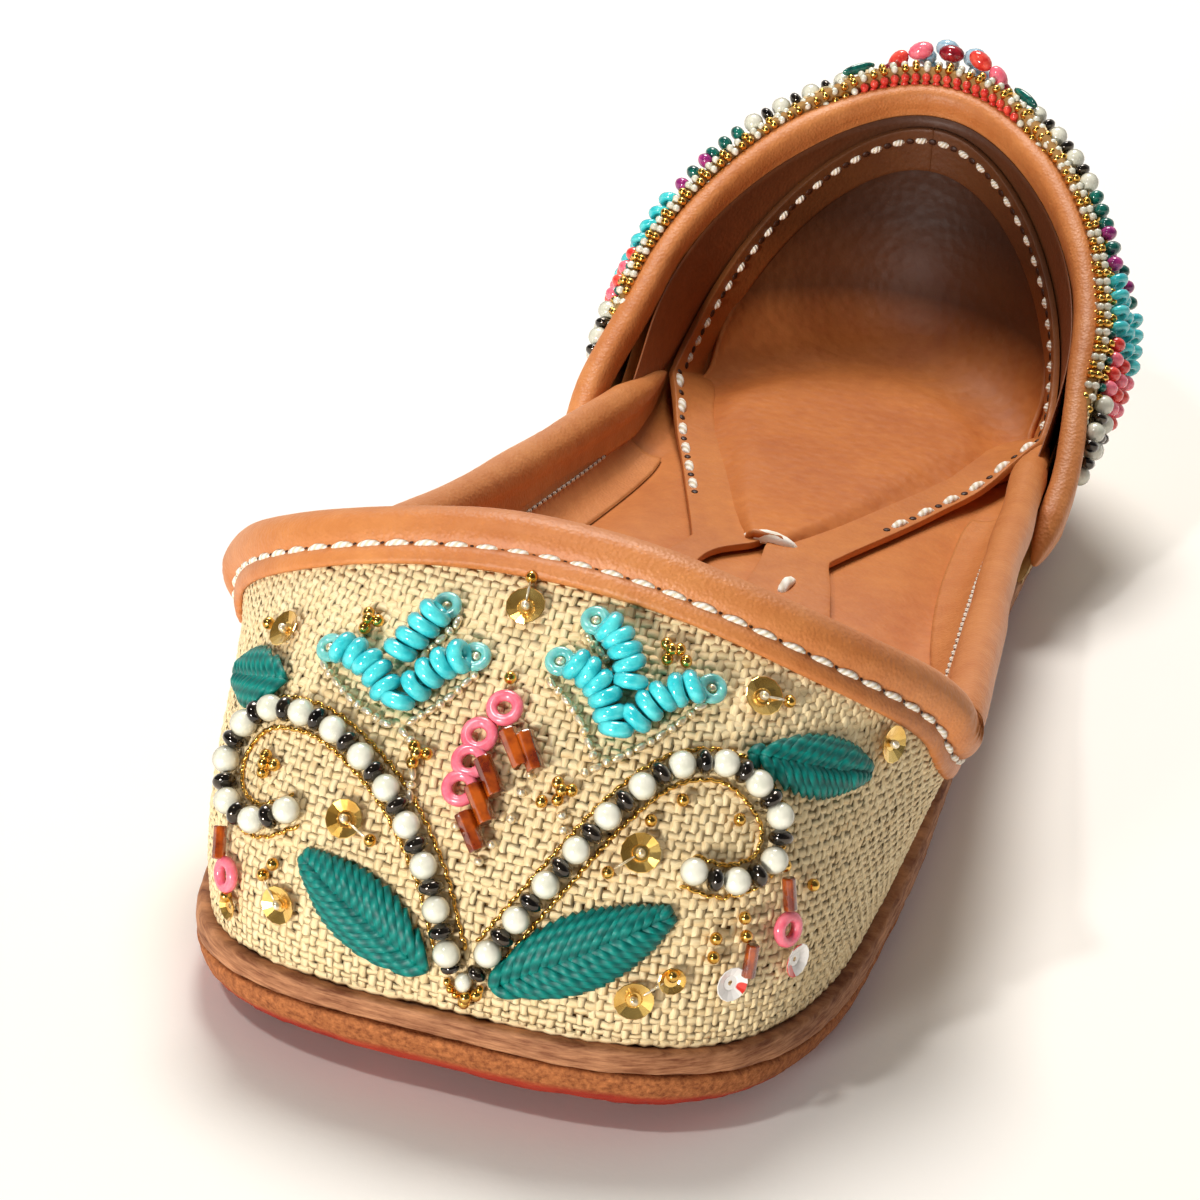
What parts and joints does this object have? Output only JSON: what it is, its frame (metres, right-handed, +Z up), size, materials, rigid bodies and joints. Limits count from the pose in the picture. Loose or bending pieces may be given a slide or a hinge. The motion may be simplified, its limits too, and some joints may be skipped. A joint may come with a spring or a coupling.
{
  "type": "mojari shoe",
  "caption": "Low slip-on leather mojari shoe with a short woven vamp, low bound sides and a raised beaded heel quarter, standing on a flat leather sole.",
  "frame": {"origin": "on the floor, at the middle of the shoe's length and width", "axes": "+Z up, +Y from the toe to the heel, +X to the wearer's left"},
  "size_m": [0.0926, 0.229, 0.0577],
  "materials": {
    "sole_leather": "rough brown sole leather with a red-stained edge",
    "rand_leather": "matt brown leather edge",
    "lining_leather": "smooth tan leather with a fine grain",
    "woven_raffia": "coarse pale straw weave",
    "quarter_raffia": "coarse straw weave covered in beadwork",
    "binding_leather": "rolled tan leather, soft sheen",
    "thread": "off-white waxed thread",
    "silk_thread": "teal satin stitch",
    "pearl": "pearl coating",
    "glass_bead": "opaque glossy glass",
    "gold_bead": "polished gold coating"
  },
  "bodies": {
    "root": {"outsole": "sole_leather", "midsole": "rand_leather", "insole": "lining_leather", "upper": "woven_raffia", "heel_quarter": "quarter_raffia", "throat_binding": "binding_leather", "quarter_binding": "binding_leather"}
  },
  "joints": []
}
